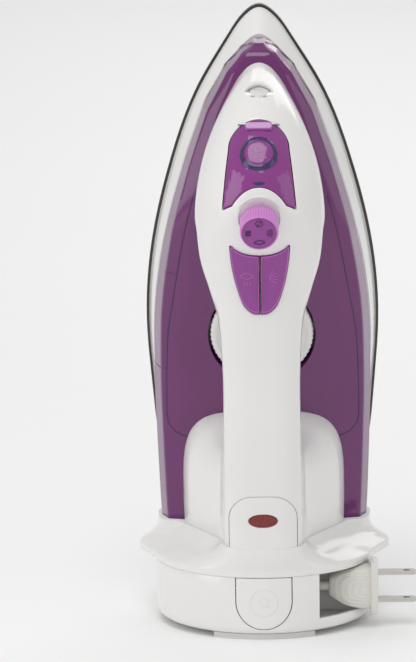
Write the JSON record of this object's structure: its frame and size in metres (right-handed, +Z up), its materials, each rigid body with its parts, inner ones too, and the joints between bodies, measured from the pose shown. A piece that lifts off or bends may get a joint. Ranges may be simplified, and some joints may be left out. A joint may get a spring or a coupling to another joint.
{
  "type": "clothes iron",
  "caption": "Upright steam iron with a clear water tank, a looped handle over a dial, a filling lid, knob and trigger buttons, standing on a round cord-reel base.",
  "frame": {"origin": "the middle of the round base's footprint, on the surface the iron stands on", "axes": "+Z up through the round base, +X to the right seen from the handle side, +Y from the handle side to the ironing face"},
  "size_m": [0.1276, 0.1541, 0.2822],
  "materials": {
    "white_gloss_plastic": "gloss",
    "purple_clear_plastic": "clear purple, gloss",
    "purple_gloss_plastic": "gloss",
    "pink_gloss_plastic": "gloss",
    "white_inner_plastic": "matte",
    "dark_inner_plastic": "matte",
    "sole_metal": "non-stick coated, satin",
    "cast_aluminium": "as cast",
    "stainless_steel": "brushed",
    "spring_steel": "drawn wire",
    "brass": "plain",
    "copper_contact": "plain",
    "nickel_blades": "nickel-plated",
    "white_cord": "soft sheathed cord",
    "white_plug_plastic": "satin",
    "rubber_feet": "matte",
    "red_lens": "clear red, ribbed",
    "lamp_glass": "clear",
    "silicone": "soft"
  },
  "bodies": {
    "iron": {"soleplate": "sole_metal", "heater_block": "cast_aluminium", "heating_element": "stainless_steel", "steam_chamber_cover": "stainless_steel", "skirt": "white_gloss_plastic", "water_tank": "purple_clear_plastic", "tank_floor": "purple_clear_plastic", "casing_upper": "white_gloss_plastic", "casing_lower": "white_gloss_plastic", "lid_pin": "stainless_steel", "fill_neck": "white_inner_plastic", "drip_valve": "brass", "steam_feed_tube": "silicone", "burst_pump": "white_inner_plastic", "burst_spring": "spring_steel", "spray_pump": "white_inner_plastic", "spray_spring": "spring_steel", "spray_nozzle": "white_gloss_plastic", "spray_tube": "silicone", "thermostat": "stainless_steel", "thermal_fuse": "white_inner_plastic", "terminal_block": "white_inner_plastic", "terminal_screws": "brass", "collar": "white_gloss_plastic", "pilot_lens": "red_lens", "pilot_bulb": "lamp_glass", "reel_housing": "white_gloss_plastic", "deck_plate": "white_inner_plastic", "feet": "rubber_feet", "base_cover": "white_inner_plastic", "cover_screws": "stainless_steel", "power_spring": "spring_steel", "reel_pin": "stainless_steel", "brushes": "copper_contact", "brake_pin": "stainless_steel", "brake_spring": "spring_steel", "rewind_spring": "spring_steel", "heater_wires": "silicone"},
    "temperature_dial": {"temperature_dial": "white_gloss_plastic", "dial_shaft": "white_inner_plastic"},
    "steam_knob": {"steam_knob": "pink_gloss_plastic", "valve_rod": "stainless_steel"},
    "fill_lid": {"fill_lid": "purple_clear_plastic"},
    "burst_button": {"burst_button": "purple_gloss_plastic", "burst_piston": "silicone"},
    "spray_button": {"spray_button": "purple_gloss_plastic", "spray_piston": "silicone"},
    "cord_reel": {"cord_reel": "white_inner_plastic", "wound_cord": "white_cord", "slip_rings": "copper_contact"},
    "plug": {"plug_body": "white_plug_plastic", "plug_blades": "nickel_blades", "cord_tail": "white_cord"},
    "rewind_button": {"rewind_button": "white_gloss_plastic"},
    "brake_lever": {"brake_lever": "dark_inner_plastic"}
  },
  "joints": [
    {"name": "lid_hinge", "type": "hinge", "parent": "iron", "child": "fill_lid", "pos_m": [0, -0.0674, 0.23451], "axis": [-1, 0, 0], "range_deg": [0, 95]},
    {"name": "steam_turn", "type": "hinge", "parent": "iron", "child": "steam_knob", "pos_m": [0, -0.08722, 0.19527], "axis": [0, -0.9272, -0.3746], "range_deg": [-105, 105]},
    {"name": "dial_turn", "type": "hinge", "parent": "iron", "child": "temperature_dial", "pos_m": [0, -0.01019, 0.13289], "axis": [0, -0.9336, -0.3584], "range_deg": [-150, 150]},
    {"name": "burst_press", "type": "slide", "parent": "iron", "child": "burst_button", "axis": [0, 0.9511, 0.309], "range_m": [0, 0.003], "stiffness_N_per_m": 1500, "springref_m": -0.001, "deforming": ["burst_spring"]},
    {"name": "spray_press", "type": "slide", "parent": "iron", "child": "spray_button", "axis": [0, 0.9511, 0.309], "range_m": [0, 0.003], "stiffness_N_per_m": 1500, "springref_m": -0.001, "deforming": ["spray_spring"]},
    {"name": "rewind_press", "type": "slide", "parent": "iron", "child": "rewind_button", "axis": [0, 1, 0], "range_m": [0, 0.003], "stiffness_N_per_m": 800, "springref_m": -0.001, "deforming": ["rewind_spring"]},
    {"name": "brake_swing", "type": "hinge", "parent": "iron", "child": "brake_lever", "pos_m": [-0.01, -0.037, 0.0246], "axis": [0, 0, 1], "range_deg": [0, 21]},
    {"name": "plug_pull", "type": "slide", "parent": "iron", "child": "plug", "axis": [1, 0, 0], "range_m": [0, 0.055]},
    {"name": "reel_spin", "type": "hinge", "parent": "iron", "child": "cord_reel", "pos_m": [-0.008, 0.008, 0.018], "axis": [0, 0, 1], "range_deg": [0, 103]}
  ],
  "couplings": [
    {"joint": "reel_spin", "follows": "plug_pull", "rad_per_m": 32.26},
    {"joint": "brake_swing", "follows": "rewind_press", "rad_per_m": 117}
  ]
}
